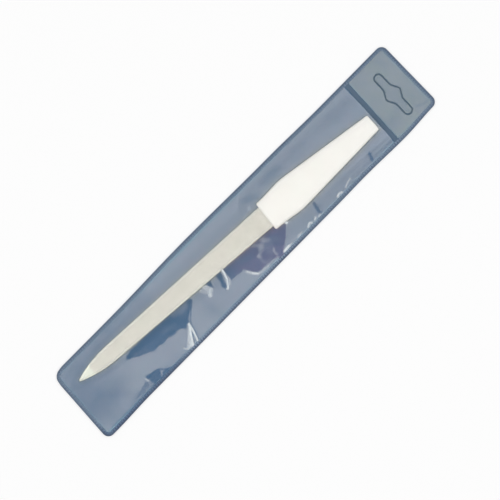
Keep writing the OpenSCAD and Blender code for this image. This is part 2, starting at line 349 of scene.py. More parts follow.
def makeGroup(name, inputs, outputs):
    group = bpy.data.node_groups.new(name, "ShaderNodeTree")
    for label, value in inputs.items():
        kind = "NodeSocketVector" if value is None else "NodeSocketFloat"
        socket = group.interface.new_socket(label, in_out="INPUT", socket_type=kind)
        if value is not None:
            socket.default_value = value
    for label in outputs:
        group.interface.new_socket(label, in_out="OUTPUT", socket_type="NodeSocketFloat")
    return group, group.nodes.new("NodeGroupInput").outputs, group.nodes.new("NodeGroupOutput").inputs


fineGrain = {"cloudScale": 0.31, "cellShare": 0.55, "middle": 0.78}


def makeGrainGroup():  # fine grain: a speckle mask and a height, from two sizes of noise and cells
    g, inputs = fineGrain, {"Vector": None, "Scale": 3000.0, "Contrast": 1.0}
    group, given, out = makeGroup("fineGrain", inputs, ["Mask", "Height"])
    cells = addNode(group, "TexVoronoi", {"Vector": given["Vector"], "Scale": given["Scale"]})
    coarse = times(group, given["Scale"], g["cloudScale"])
    cloud = addNode(group, "TexNoise", {"Vector": given["Vector"], "Scale": coarse, "Detail": 4.0})
    height = addShare(group, cloud.outputs[0], cells.outputs["Distance"], g["cellShare"])
    spread = times(group, mathNode(group, "SUBTRACT", height, g["middle"]), given["Contrast"])
    group.links.new(mathNode(group, "ADD", spread, 0.5, clamp=True), out["Mask"])
    group.links.new(height, out["Height"])
    return group


def makeSmudgeGroup():  # broad handling marks for colour, haze and roughness
    inputs = {"Vector": None, "Scale": 60.0, "Edge": 0.2}
    group, given, out = makeGroup("handlingMarks", inputs, ["Mask", "Height"])
    sockets = {"Vector": given["Vector"], "Scale": given["Scale"], "Detail": 3.0, "Distortion": 0.6}
    cloud = addNode(group, "TexNoise", sockets).outputs[0]
    low, high = (mathNode(group, step, 0.5, given["Edge"]) for step in ("SUBTRACT", "ADD"))
    group.links.new(rangeNode(group, cloud, low, high), out["Mask"])
    group.links.new(cloud, out["Height"])
    return group


grainGroup = makeGrainGroup()
smudgeGroup = makeSmudgeGroup()


def emptyTree(block):
    block.use_nodes = True
    block.node_tree.nodes.clear()
    return block.node_tree


def startMaterial(name):
    material = bpy.data.materials.new(name)
    tree = emptyTree(material)
    coords = addNode(tree, "TexCoord").outputs["Object"]
    shader = addNode(tree, "BsdfPrincipled")
    addNode(tree, "OutputMaterial", {"Surface": shader.outputs[0]})
    return material, tree, coords, shader


def smudges(tree, coords, scale, edge):
    sockets = {"Vector": coords, "Scale": scale, "Edge": edge}
    return addNode(tree, "Group", sockets, node_tree=smudgeGroup).outputs


def grains(tree, coords, scale, contrast):
    sockets = {"Vector": coords, "Scale": scale, "Contrast": contrast}
    return addNode(tree, "Group", sockets, node_tree=grainGroup).outputs


# materials
clearVinyl = {
    "airVeil": 0.124,  # share of white haze on each face where the film stands off
    "clingVeil": 0.003,  # and where it clings to the blue film
    "cloud": (0.88, 1.10),
    "violetVeil": 0.037,
    "warmVeil": 0.034,
    "fringeVeil": 0.025,
    "glintVeil": 0.62,
    "pocketTone": (0.94, 1.0, 1.0, 1),
    "tabTone": (0.94, 1.0, 0.82, 1),
    "blotchTone": (1.0, 0.94, 1.0, 1),
    "blotchShare": 0.6,
    "fringeTone": (0.62, 0.92, 1.0, 1),
    "violetTone": (0.86, 0.47, 0.60, 1),
    "warmTone": (1.0, 0.92, 0.45, 1),  # the cream file's light on the film beside it
    "warmShare": 0.5,
    "glintTone": (0.93, 0.985, 1.0, 1),
    "glintShare": 2.5,
    "shadowCut": 0.9,  # share of its cover lost to a lamp's shadow
    "mirrorIor": 1.35,
    "roughness": (0.16, 0.24),
    "ripple": 0.00006,
}


def makeClearVinyl(kind):
    v = clearVinyl
    material, tree, coords, shader = startMaterial(kind + "Vinyl")
    painted = addNode(tree, "Attribute", attribute_name="vinyl")
    haze, glint, violet = addNode(tree, "SeparateColor", {0: painted.outputs["Color"]}).outputs
    fringe = painted.outputs["Alpha"]
    warm = addNode(tree, "Attribute", attribute_name="warmRim").outputs["Fac"]
    marks = smudges(tree, coords, scale=55.0, edge=0.22)
    patches = smudges(tree, coords, scale=160.0, edge=0.3)
    clouded = times(tree, haze, maskRange(tree, marks["Mask"], *v["cloud"]))
    veil = maskRange(tree, clouded, v["clingVeil"], v["airVeil"])
    for mask, mark in ((violet, "violet"), (warm, "warm"), (fringe, "fringe"), (glint, "glint")):
        veil = addShare(tree, veil, mask, v[mark + "Veil"])
    colour = v[kind + "Tone"]
    for share, mark in (
        (maskRange(tree, patches["Mask"], 0.0, v["blotchShare"]), "blotch"),
        (fringe, "fringe"),
        (violet, "violet"),
        (times(tree, warm, v["warmShare"]), "warm"),
        (times(tree, glint, v["glintShare"], clamp=True), "glint"),
    ):
        colour = mixColour(tree, share, colour, v[mark + "Tone"])
    # the cover is mirror and veil together, and the mirror's part of it is the Metallic
    backFace = addNode(tree, "NewGeometry").outputs["Backfacing"]
    fresnel = addNode(tree, "Fresnel", {"IOR": v["mirrorIor"]}).outputs[0]
    mirror = times(tree, fresnel, mathNode(tree, "SUBTRACT", 1.0, backFace))
    cover = mathNode(tree, "ADD", mirror, veil, clamp=True)
    shadowRay = addNode(tree, "LightPath").outputs["Is Shadow Ray"]
    lit = mathNode(tree, "SUBTRACT", 1.0, times(tree, shadowRay, v["shadowCut"]))
    fillSockets(tree, shader, {
        "Base Color": colour,
        "Alpha": times(tree, cover, lit),
        "Metallic": mathNode(tree, "DIVIDE", mirror, cover),
        "Roughness": maskRange(tree, marks["Mask"], *v["roughness"]),
        "Normal": bumpNormal(tree, patches["Height"], v["ripple"]),
        "IOR": v["mirrorIor"],
    })
    return material


blueVinyl = {
    "deep": (0.028, 0.098, 0.200, 1),
    "worn": (0.042, 0.112, 0.224, 1),
    "pool": (0.019, 0.087, 0.183, 1),
    "poolShare": 0.6,
    "roughness": (0.32, 0.42),
    "grainRoughness": 0.06,
    "grainHeight": 0.12,
    "knurlDepth": 0.00005,
    "knurlPitch": 1.33,
    "knurlBand": (0.0172, 0.0174),
}


def makeBlueVinyl():
    v = blueVinyl
    material, tree, coords, shader = startMaterial("blueVinyl")
    marks = smudges(tree, coords, scale=38.0, edge=0.25)
    patches = smudges(tree, coords, scale=130.0, edge=0.24)
    grain = grains(tree, coords, scale=2600.0, contrast=0.8)
    colour = mixColour(tree, marks["Mask"], v["deep"], v["worn"])
    rough = maskRange(tree, marks["Mask"], *v["roughness"])
    spot = addNode(tree, "SeparateXYZ", {0: coords}).outputs
    inBand = rangeNode(tree, mathNode(tree, "ABSOLUTE", spot[1]), *v["knurlBand"])
    wave = mathNode(tree, "SINE", times(tree, spot[0], 2 * pi / (v["knurlPitch"] * mm)))
    height = addShare(tree, times(tree, wave, inBand), grain["Height"], v["grainHeight"])
    fillSockets(tree, shader, {
        "Base Color": mixColour(tree, times(tree, patches["Mask"], v["poolShare"]), colour, v["pool"]),
        "Roughness": addShare(tree, rough, grain["Mask"], v["grainRoughness"]),
        "Normal": bumpNormal(tree, height, v["knurlDepth"]),
        "IOR": 1.3,
    })
    return material


weldVinyl = {
    "roughness": (0.26, 0.44),
    "grain": 0.00002,
    "crestZ": (0.00033, 0.00046),
    "lowerSide": (-0.011, -0.016),  # y over which the lower edge's look comes in
    "teeth": (0.012, 0.034, 0.45, 0.02),  # x range, and how much more the teeth show on that edge
    "evenness": (0.5, 0.28),  # how much the marks hide the teeth, and how much the rest does
    "tipEnd": (-0.050, -0.064, 0.0, 0.62),  # x range and share of the darker crests near the tip end
    "tipTone": (0.0, 0.060, 0.180, 1),
}
weldTones = {  # painted shade for the knurl's valleys, painted light for its crests, and the mean
    "edge": ((0.004, 0.024, 0.070, 1), (0.210, 0.290, 0.410, 1), (0.084, 0.136, 0.206, 1)),
    "line": ((0.040, 0.078, 0.120, 1), (0.056, 0.094, 0.140, 1), (0.046, 0.086, 0.126, 1)),
    "strip": ((0.030, 0.086, 0.150, 1), (0.105, 0.150, 0.215, 1), (0.062, 0.108, 0.172, 1)),
}


def makeWeldVinyl(kind):
    v = weldVinyl
    valley, crest, mean = weldTones[kind]
    material, tree, coords, shader = startMaterial(kind + "Vinyl")
    marks = smudges(tree, coords, scale=170.0, edge=0.16)
    grain = grains(tree, coords, scale=2200.0, contrast=1.0)
    spot = addNode(tree, "SeparateXYZ", {0: coords}).outputs
    # painted light and shade of the knurl: the colour goes from valley to crest by height
    ridge = rangeNode(tree, spot[2], *v["crestZ"])
    lower = rangeNode(tree, spot[1], *v["lowerSide"])
    bite = times(tree, lower, rangeNode(tree, spot[0], *v["teeth"]))
    even = mathNode(tree, "MULTIPLY_ADD", marks["Mask"], *v["evenness"])
    even = mathNode(tree, "SUBTRACT", even, bite, clamp=True)
    nearTip = times(tree, rangeNode(tree, spot[0], *v["tipEnd"]), lower)
    colour = mixColour(tree, ridge, valley, mixColour(tree, nearTip, crest, v["tipTone"]))
    fillSockets(tree, shader, {
        "Base Color": mixColour(tree, even, colour, mean),
        "Roughness": maskRange(tree, grain["Mask"], *v["roughness"]),
        "Normal": bumpNormal(tree, grain["Height"], v["grain"]),
        "IOR": 1.5,
    })
    return material


handlePlastic = {
    "base": (0.943, 0.914, 0.850, 1),
    "shade": (0.915, 0.886, 0.816, 1),
    "roughness": (0.24, 0.34),
    "peel": 0.00002,
}


def makeHandlePlastic():
    v = handlePlastic
    material, tree, coords, shader = startMaterial("handlePlastic")
    marks = smudges(tree, coords, scale=70.0, edge=0.25)
    grain = grains(tree, coords, scale=1500.0, contrast=0.7)
    fillSockets(tree, shader, {
        "Base Color": mixColour(tree, marks["Mask"], v["base"], v["shade"]),
        "Roughness": maskRange(tree, marks["Mask"], *v["roughness"]),
        "Normal": bumpNormal(tree, grain["Height"], v["peel"]),
        "IOR": 1.49,
    })
    return material


gritCoat = {
    "bright": (0.73, 0.695, 0.585, 1),
    "dull": (0.50, 0.475, 0.375, 1),
    "handled": (0.72, 0.68, 0.58, 1),
    "handledShare": 0.25,
    "fineShare": 0.6,
    "roughness": (0.57, 0.82),
    "depth": 0.00005,
}


def makeGritCoat():
    v = gritCoat
    material, tree, coords, shader = startMaterial("gritCoat")
    grain = grains(tree, coords, scale=3600.0, contrast=1.6)
    blotch = grains(tree, coords, scale=900.0, contrast=1.2)
    marks = smudges(tree, coords, scale=90.0, edge=0.3)
    speck = addShare(tree, times(tree, grain["Mask"], v["fineShare"]), blotch["Mask"], 1 - v["fineShare"])
    colour = mixColour(tree, speck, v["dull"], v["bright"])
    colour = mixColour(tree, times(tree, marks["Mask"], v["handledShare"]), colour, v["handled"])
    fillSockets(tree, shader, {
        "Base Color": colour,
        "Roughness": maskRange(tree, grain["Mask"], *v["roughness"]),
        "Normal": bumpNormal(tree, grain["Height"], v["depth"], strength=0.8),
        "IOR": 1.6,
    })
    return material


bladeSteel = {
    "bright": (0.53, 0.525, 0.460, 1),
    "dull": (0.42, 0.420, 0.360, 1),
    # a painted highlight on the bare nose, brightest just before the grit coat
    "paintedHighlight": (0.74, 0.79, 0.62, 1),
    "highlightRise": (0.0, 0.0070, 0.26, 0.48),  # distance from the point, and share of the painted highlight
    "highlightFall": (0.0074, 0.0084, 1.0, 0.0),
    "brushed": (120, 4200, 1500),  # long along the blade, fine across it
    "strokes": (0.3, 0.7),
    "roughness": (0.32, 0.46),
    "marksRoughness": 0.06,
    "depth": 0.00002,
}


def makeBladeSteel():
    v = bladeSteel
    material, tree, coords, shader = startMaterial("bladeSteel")
    level = {"Vector": coords, "Rotation": (0, 0, -nailFile["turn"])}
    along = addNode(tree, "Mapping", {**level, "Scale": v["brushed"]}).outputs[0]
    brush = addNode(tree, "TexNoise", {"Vector": along, "Scale": 1.0, "Detail": 5.0}).outputs[0]
    marks = smudges(tree, coords, scale=140.0, edge=0.3)
    spot = addNode(tree, "SeparateXYZ", {0: addNode(tree, "Mapping", level).outputs[0]}).outputs[0]
    fromPoint = mathNode(tree, "SUBTRACT", spot, fileDir.dot(tipPlace) * mm)
    # the painted highlight comes in and goes out along the bare tip
    rise, fall = (rangeNode(tree, fromPoint, *v[part]) for part in ("highlightRise", "highlightFall"))
    colour = mixColour(tree, rangeNode(tree, brush, *v["strokes"]), v["dull"], v["bright"])
    rough = rangeNode(tree, brush, *v["strokes"], *v["roughness"])
    fillSockets(tree, shader, {
        "Base Color": mixColour(tree, times(tree, rise, fall), colour, v["paintedHighlight"]),
        "Metallic": 1.0,
        "Roughness": addShare(tree, rough, marks["Mask"], v["marksRoughness"]),
        "Normal": bumpNormal(tree, brush, v["depth"]),
    })
    return material


pocketVinyl = makeClearVinyl("pocket")
tabVinyl = makeClearVinyl("tab")
backVinyl = makeBlueVinyl()
edgeVinyl = makeWeldVinyl("edge")
lineVinyl = makeWeldVinyl("line")
stripVinyl = makeWeldVinyl("strip")
whitePlastic = makeHandlePlastic()
grit = makeGritCoat()
steel = makeBladeSteel()
print("materials made")


def paintVinyl(piece, marksAt):  # haze, glint, violet, fringe and warm rim at each vertex
    known, marks = {}, []  # the film's two faces share their marks
    for vert in piece.data.vertices:
        spot = (round(vert.co.x / mm, 4), round(vert.co.y / mm, 4))
        if spot not in known:
            known[spot] = marksAt(*spot)
        marks.append(known[spot])
    layer = piece.data.color_attributes.new("vinyl", "FLOAT_COLOR", "POINT")
    layer.data.foreach_set("color", [value for mark in marks for value in mark[:4]])
    rim = piece.data.attributes.new("warmRim", "FLOAT", "POINT")
    rim.data.foreach_set("value", [mark[4] for mark in marks])


# blade and coats
bladeMesh = {"steps": 60, "crowding": 1.5, "narrowest": 0.01, "cornerRound": 0.06, "coatRound": 0.05}


def taperHalf(s):
    f = nailFile
    return blend(f["noseW"], f["bladeW"], (s - f["noseLen"]) / (f["bladeLen"] - f["noseLen"])) / 2


def bladeHalf(s):
    f = nailFile
    if s >= f["noseLen"]:
        return taperHalf(s)
    return taperHalf(f["noseLen"]) - f["noseR"] + sqrt(f["noseR"] ** 2 - (f["noseLen"] - s) ** 2)


def stripRing(start, end, inset, z, tang=False):  # outline of the blade or a coat, in the file's frame
    f, m = nailFile, bladeMesh
    stations = [blend(start, end, (i / m["steps"]) ** m["crowding"]) for i in range(m["steps"] + 1)]
    side = [(s, max(bladeHalf(s) - inset, m["narrowest"])) for s in stations]
    if tang:
        side += [(end, f["tangW"] / 2), (end + f["tangLen"], f["tangW"] / 2)]
    loop = side + [(s, -d) for s, d in reversed(side)]
    return [fileFrame @ Vector((s, d, z)) for s, d in loop]


def makeBlade():
    f, edge = nailFile, bladeMesh["cornerRound"]
    top, shoulder = f["bladeT"] / 2, f["bladeT"] / 2 - f["bevelH"]
    upper = [(0.0, shoulder - edge), (edge, shoulder), (f["bevelW"], top)]
    levels = [(inset, -z) for inset, z in reversed(upper)] + upper
    end = f["bladeLen"] + f["seat"]
    bm = loftRings([stripRing(inset, end, inset, z, tang=True) for inset, z in levels])
    finishPiece(bm, "bladeBody", "file", "blade", steel, sharp=12)


def makeCoat(name, node, side):
    f, edge = nailFile, bladeMesh["coatRound"]
    low, high = side * f["bladeT"] / 2, side * (f["bladeT"] / 2 + f["gritT"])
    end = f["bladeLen"] + f["seat"] / 2
    levels = [(0.0, low), (0.0, high - side * edge), (edge, high)]
    bm = loftRings([stripRing(f["bareTip"] + inset, end, f["bevelW"] + inset, z) for inset, z in levels])
    finishPiece(bm, name, "file", node, grit)


makeBlade()
makeCoat("frontCoat", "front_grit", 1)
makeCoat("backCoat", "back_grit", -1)

# handle
handleMesh = {
    "sides": 64,
    "bodyRings": 10,
    "tailRings": 26,
    "mouthPower": 0.16,
    "mouthDepth": 1.5,
    "mouthPlay": 0.05,
    "softCorner": 3.2,
    "cornerSteps": 4,
    "fullness": 0.5,
    "rounds": [(0, 1), (0.08, 0.62), (0.3, 0.28), (0.6, 0.08), (1, 0)],  # an end's rounding: along, inwards
}


def bellyCurve(s):  # the first half of a soft rise, as it meets the belly at full slope
    return min(smooth((s - nailFile["bladeLen"]) / nailFile["bellyAt"] * 0.5) * 2, 1)


def tailShare(s):
    return (s - bellyPlace) / (fileLength - bellyPlace)


def handleSize(s, kind, tail):  # half its width or thickness, still with a sharp belly corner
    f = nailFile
    if s < bellyPlace:
        return blend(f["front" + kind], f["belly" + kind], bellyCurve(s)) / 2
    return blend(f["belly" + kind], f["butt" + kind], tail) / 2


def handleHalf(s):  # the belly's corner is rounded off over a few millimetres
    n = handleMesh["cornerSteps"]
    reach = max(min(handleMesh["softCorner"], s - nailFile["bladeLen"], fileLength - s), 0.0)
    spots = [s + reach * k / n for k in range(-n, n + 1)]
    return sum(handleSize(spot, "W", tailShare(spot)) for spot in spots) / len(spots)


def handleRise(s):
    return handleSize(s, "T", smooth(tailShare(s)))


def soft(c, power):
    return copysign(abs(c) ** power, c)


def sectionRing(s, half, rise, power):
    f, sides = nailFile, handleMesh["sides"]
    skew = tan(f["frontSkew"]) * (1 - smooth((s - f["bladeLen"]) / f["bellyAt"]))
    ring = []
    for i in range(sides):
        a = 2 * pi * i / sides
        d, h = half * soft(cos(a), power), rise * soft(sin(a), power)
        ring.append(fileFrame @ Vector((s + skew * d, d, h)))
    return ring


def bodyRing(s, inset=0.0):
    drop = nailFile["round"] * inset
    return sectionRing(s, handleHalf(s) - drop, handleRise(s) - drop, handleMesh["fullness"])


def makeHandle():
    f, h = nailFile, handleMesh
    start, r = f["bladeLen"], f["round"]
    mouth = (bladeHalf(start) + h["mouthPlay"], f["bladeT"] / 2 + f["gritT"] + h["mouthPlay"])
    rings = [sectionRing(s, *mouth, h["mouthPower"]) for s in (start + h["mouthDepth"], start)]
    rings += [bodyRing(start + r * along, inset) for along, inset in h["rounds"]]
    spans = ((start + r, bellyPlace, h["bodyRings"]), (bellyPlace, fileLength - r, h["tailRings"]))
    for a, b, count in spans:
        rings += [bodyRing(blend(a, b, i / count)) for i in range(1, count + 1)]
    rings += [bodyRing(fileLength - r * along, inset) for along, inset in reversed(h["rounds"][:-1])]
    bm = loftRings(rings)
    finishPiece(bm, "mouldedHandle", "file", "handle", whitePlastic, sharp=50)


makeHandle()
print("file built")

# sleeve: blue back film, welds and plugs
weldBand = {
    "pitch": 1.33,
    "height": 0.13,
    "ridge": 0.1,
    "profile": [  # inset from the sleeve's edge, share of the height, share of the ridge
        (0.0, 0.0, 0.0), (0.0, 0.7, 0.0), (0.12, 1.15, 0.0), (0.50, 1.08, 0.2),
        (0.85, 1.0, 1.0), (1.20, 1.1, 1.0), (1.45, 1.5, 0.9), (1.66, 1.6, 0.4),
        (1.80, 1.2, 0.0), (1.80, 0.0, 0.0), (0.0, 0.0, 0.0),
    ],
}
backFilm = {"pitch": 4.0}


def makeBackFilm():
    bm = bmesh.new()
    makeRing(bm, sleeveRing(outlineStations(backFilm["pitch"]), 0.0, 0.0))
    makeRing(bm, slotRing(sleeve["slotLine"] / 2, 0.0))
    bmesh.ops.triangle_fill(bm, use_beauty=True, edges=bm.edges[:])
    thicken(bm, sleeve["film"])
    finishPiece(bm, "blueBackFilm", "sleeve", "back_film", backVinyl)


def makeEdgeWeld():
    w, stations = weldBand, outlineStations(weldBand["pitch"])
    rings = []
    for inset, rise, ridge in w["profile"]:
        rings.append(sleeveRing(stations, inset, sleeve["film"] + w["height"] * rise, w["ridge"] * ridge))
    bm = loftRings(rings, capped=False)
    finishPiece(bm, "edgeWeldBand", "sleeve", "edge_weld", edgeVinyl)


crossStrip = {
    "across": 10,
    "along": 90,
    "height": 0.16,
    "melt": 0.03,
    "meltScale": 0.9,
    "edgeDrop": 0.75,  # share of the height lost at the strip's own edges
    "edgePower": 7,
}


def makeCrossWeld():
    c, span = crossStrip, sleeve["tabX"] - sleeve["crossX"]
    bm = bmesh.new()
    bmesh.ops.create_grid(bm, x_segments=c["across"], y_segments=c["along"], size=1.0)
    for vert in bm.verts:
        y = vert.co.y * innerHalf
        vert.co = settle((sleeve["crossX"] + span * (vert.co.x + 1) / 2 + y * crossLean, y, sleeve["film"]))
    for vert in newVerts(bmesh.ops.extrude_face_region(bm, geom=bm.faces[:])):
        u = (vert.co.x - vert.co.y * crossLean - sleeve["crossX"]) / span * 2 - 1
        height = c["height"] + c["melt"] * noise.noise(vert.co * c["meltScale"])
        vert.co.z += height * (1 - abs(u) ** c["edgePower"] * c["edgeDrop"])
    finishPiece(bm, "crossWeldStrip", "sleeve", "cross_weld", stripVinyl)


tearLine = {
    "height": 0.3,
    "profile": [  # share of half its width, share of its height
        (1.0, 0.0), (1.0, 0.72), (0.72, 0.96), (0.3, 1.0),
        (-0.3, 1.0), (-0.72, 0.96), (-1.0, 0.72), (-1.0, 0.0), (1.0, 0.0),
    ],
}


def makeSlotWeld():
    t, half = tearLine, sleeve["slotLine"] / 2
    bm = loftRings([slotRing(half * side, t["height"] * rise) for side, rise in t["profile"]], capped=False)
    finishPiece(bm, "slotTearLine", "sleeve", "slot_weld", lineVinyl)


plugShape = {"edge": 0.05, "haze": (0.86, [(0.08, 0.3, 8.8)])}


def makePlug(name, node, material, base):
    inner, edge = -sleeve["slotLine"] / 2, plugShape["edge"]
    top = base + sleeve["film"]
    levels = [(inner - edge, base), (inner, base + edge), (inner, top - edge), (inner - edge, top)]
    bm = loftRings([slotRing(grow, z) for grow, z in levels])
    return finishPiece(bm, name, "sleeve", node, material)


makeBackFilm()
makeEdgeWeld()
makeCrossWeld()
makeSlotWeld()
makePlug("slotPlugBack", "slot_plug_back", backVinyl, 0.0)
frontPlug = makePlug("slotPlugFront", "slot_plug_front", tabVinyl, clearBase)
paintVinyl(frontPlug, lambda x, y: (mottle(x, y, *plugShape["haze"]), 0.0, 0.0, 0.0, 0.0))
print("back film, welds and plugs built")

# tab's clear front film, between the welds and the slot
tabFilm = {
    "samples": 420,
    "rings": 30,
    "crowding": 1.15,
    "slotGap": 0.02,
    "outlinePitch": 2.0,
    "cornerGap": 0.3,
    "haze": (0.93, [(0.07, 0.16, 4.4), (0.04, 0.6, 6.1)]),
    "fringe": 0.8,
    "fringeShare": 0.55,
}
tabStrokes = [  # path from the tip end, half width, change of the haze
    ([(206.6, -12.9), (209.2, -14.3), (212.3, -14.8)], 0.55, -0.30),
    ([(203.4, -16.6), (207.6, -15.6), (210.4, -13.4)], 0.5, 0.20),
    ([(192.4, -16.4), (199.0, -16.6)], 0.5, 0.22),
    ([(211.2, 13.9), (212.2, 8.6)], 0.6, 0.16),
    ([(193.0, 10.4), (192.2, 2.0), (193.4, -6.0)], 1.2, 0.08),
    ([(207.0, 2.2), (208.4, -8.5)], 1.6, -0.07),
]


def pathDistance(p, path):
    best = 1e9
    for a, b in zip(path, path[1:]):
        a, b = Vector(a), Vector(b)
        along = b - a
        share = min(max((p - a).dot(along) / along.length_squared, 0.0), 1.0)
        best = min(best, (p - a - along * share).length)
    return best


def insideLoop(p, loop):
    inside = False
    for a, b in zip(loop, loop[1:] + loop[:1]):
        if (a[1] > p.y) != (b[1] > p.y) and p.x < (b[0] - a[0]) * (p.y - a[1]) / (b[1] - a[1]) + a[0]:
            inside = not inside
    return inside


def nearPath(p, path, reach):  # a quick test first
    xs, ys = zip(*path)
    return min(xs) - reach < p.x < max(xs) + reach and min(ys) - reach < p.y < max(ys) + reach


strokeEdge = {"reach": 3, "spread": 1.6, "core": 0.12}  # in half widths of the stroke


def strokeMask(p, path, half):
    e = strokeEdge
    if not nearPath(p, path, e["reach"] * half):
        return 0.0
    return 1 - smooth(pathDistance(p, path) / (e["spread"] * half) - e["core"])


def resample(loop, count):  # evenly spaced points along a closed loop
    spans = [(b - a).length for a, b in zip(loop, loop[1:] + loop[:1])]
    total, points, i, done = sum(spans), [], 0, 0.0
    for k in range(count):
        want = total * k / count
        while done + spans[i] < want:
            done += spans[i]
            i += 1
        a, b = loop[i], loop[(i + 1) % len(loop)]
        points.append(a.lerp(b, (want - done) / spans[i]))
    return points


def tabOutline():  # counter-clockwise, from the cross weld's lower end
    loop = [Vector((sleeve["tabX"] - innerHalf * crossLean, -innerHalf))]
    for base, out, _ in outlineStations(tabFilm["outlinePitch"]):
        p = base + out * innerCorner
        if p.x > sleeve["tabX"] + p.y * crossLean + tabFilm["cornerGap"]:
            loop.append(p)
    return loop + [Vector((sleeve["tabX"] + innerHalf * crossLean, innerHalf))]


rayLimits = {"parallel": 1e-9, "slack": 1e-6}


def rayHit(centre, heading, loop):  # the farthest point where a ray from the slot's centre meets the loop
    best, slack = None, rayLimits["slack"]
    for a, b in zip(loop, loop[1:] + loop[:1]):
        side = b - a
        cross = heading.x * side.y - heading.y * side.x
        if abs(cross) < rayLimits["parallel"]:
            continue
        offset = a - centre
        reach = (offset.x * side.y - offset.y * side.x) / cross
        share = (offset.x * heading.y - offset.y * heading.x) / cross
        if reach > 0 and -slack <= share <= 1 + slack and (best is None or reach > best):
            best = reach
    return centre + heading * best


def fringeAt(film, rim):  # the coloured fringe beside a weld or a cut edge
    return film["fringeShare"] * (1 - smooth(rim / film["fringe"]))


def makeTabFilm():
    t = tabFilm
    inner = resample(slotRing(sleeve["slotLine"] / 2 + t["slotGap"]), t["samples"])
    centre, edge = Vector(sleeve["slotCentre"]), tabOutline()
    outer = [rayHit(centre, (p - centre).normalized(), edge) for p in inner]
    rings = []
    for k in range(t["rings"] + 1):
        share = (k / t["rings"]) ** t["crowding"]
        rings.append([settle((*a.lerp(b, share), clearBase)) for a, b in zip(outer, inner)])
    bm = loftRings(rings, capped=False)
    thicken(bm, sleeve["film"])
    piece = finishPiece(bm, "tabFilm", "sleeve", "tab_front_film", tabVinyl)

    def tabMarks(x, y):
        spot = fromTip(x, y)
        haze = mottle(x, y, *t["haze"])
        haze += sum(change * strokeMask(spot, path, half) for path, half, change in tabStrokes)
        return (haze, 0.0, 0.0, fringeAt(t, pathDistance(Vector((x, y)), edge + edge[:1])), 0.0)

    paintVinyl(piece, tabMarks)


makeTabFilm()

# pocket's clear front film, draped over the file
pocketFilm = {
    "along": 430,
    "across": 84,
    "gap": 0.32,
    "ramp": 9.0,
    "rampRest": 2.0,
    "noseRun": 6.0,
    "noseRest": 1.0,
    "drape": 1.7,
    "leastRun": 1.0,
    "crown": 0.04,
    "wander": 0.12,
    "ripple": (0.11, 0.16, 2.0),  # scale along and across, and layer
    "rippleBase": 0.25,
    "crease": 0.35,
    "rimFade": 3.0,
    "mouthReach": 0.55,
    "fringe": 0.9,
    "fringeShare": 0.8,
    "fringePast": 1.2,
    "stray": ([(0.55, 0.55, 3.1)], [(0.55, 0.55, 7.7)]),  # how the patches' edges wander in x and y
    "haze": (1.0, [(0.05, 0.12, 1.3), (0.04, 0.5, 5.3)]),
    "flicker": (0.85, [(0.3, 1.6, 9.1)]),
    "violetRise": (0.25, 89, 10),  # least share, where it rises, over what length
    "violetWear": (0.35, 0.6),
}

# where the film clings to the blue film and the haze goes: depth, violet share, outline from the tip end
clingPatches = [
    (1.0, 0.0, [
        (31.2, 0.5), (34.5, 1.7), (47, 1.7), (59.5, 0.7), (68, 0.0), (72.2, -0.4),
        (71.8, -2.1), (69.1, -3.9), (66.8, -5.3), (64.8, -7.1), (63.2, -8.3), (60, -8.9),
        (59.3, -7.5), (57.2, -7.2), (55, -7.5), (52.4, -6.3), (49.9, -6.8), (47, -6.1),
        (43.7, -6.1), (40.7, -4.7), (36.6, -3), (33.7, -1.1),
    ]),
    (0.95, 0.2, [(81.1, -1.2), (84.1, -1.3), (83.6, -3.4), (82.5, -5.4), (81.8, -3.9)]),
    (0.95, 0.3, [
        (88, -1.4), (90.2, -1.6), (88.9, -5.3), (87.5, -9.2), (86.1, -8.9), (85.7, -7.8), (86.8, -4.8),
    ]),
    (0.95, 0.80, [
        (91.8, -1.6), (100, -2.4), (110, -3.3), (121.8, -4.4), (122.3, -5.4), (126.4, -7.6), (125.9, -8.5),
        (123.2, -11.6), (120, -13.9), (117.3, -15.7), (116.7, -17.4), (113.3, -17.4), (113.6, -15.5),
        (109.5, -15.5), (107.3, -14.6), (104.5, -15), (101.8, -14.4), (100.5, -12.5), (99.3, -10.3),
        (98.2, -8.9), (95, -8.7), (91.4, -8.4), (90.9, -7.1), (91.4, -3.5),
    ]),
    (1.0, 0.0, [
        (32, -11.4), (32.4, -13.4), (32.8, -17.4), (37.2, -17.4), (44.9, -17.5), (43.2, -16.5),
        (41.2, -15.1), (39.1, -13.4), (36.6, -12.2),
    ]),
    (0.7, 0.1, [(21.4, -15.3), (26, -14.3), (30.3, -13.2), (31.8, -14.6), (30.3, -15.6), (25, -15.8)]),
]
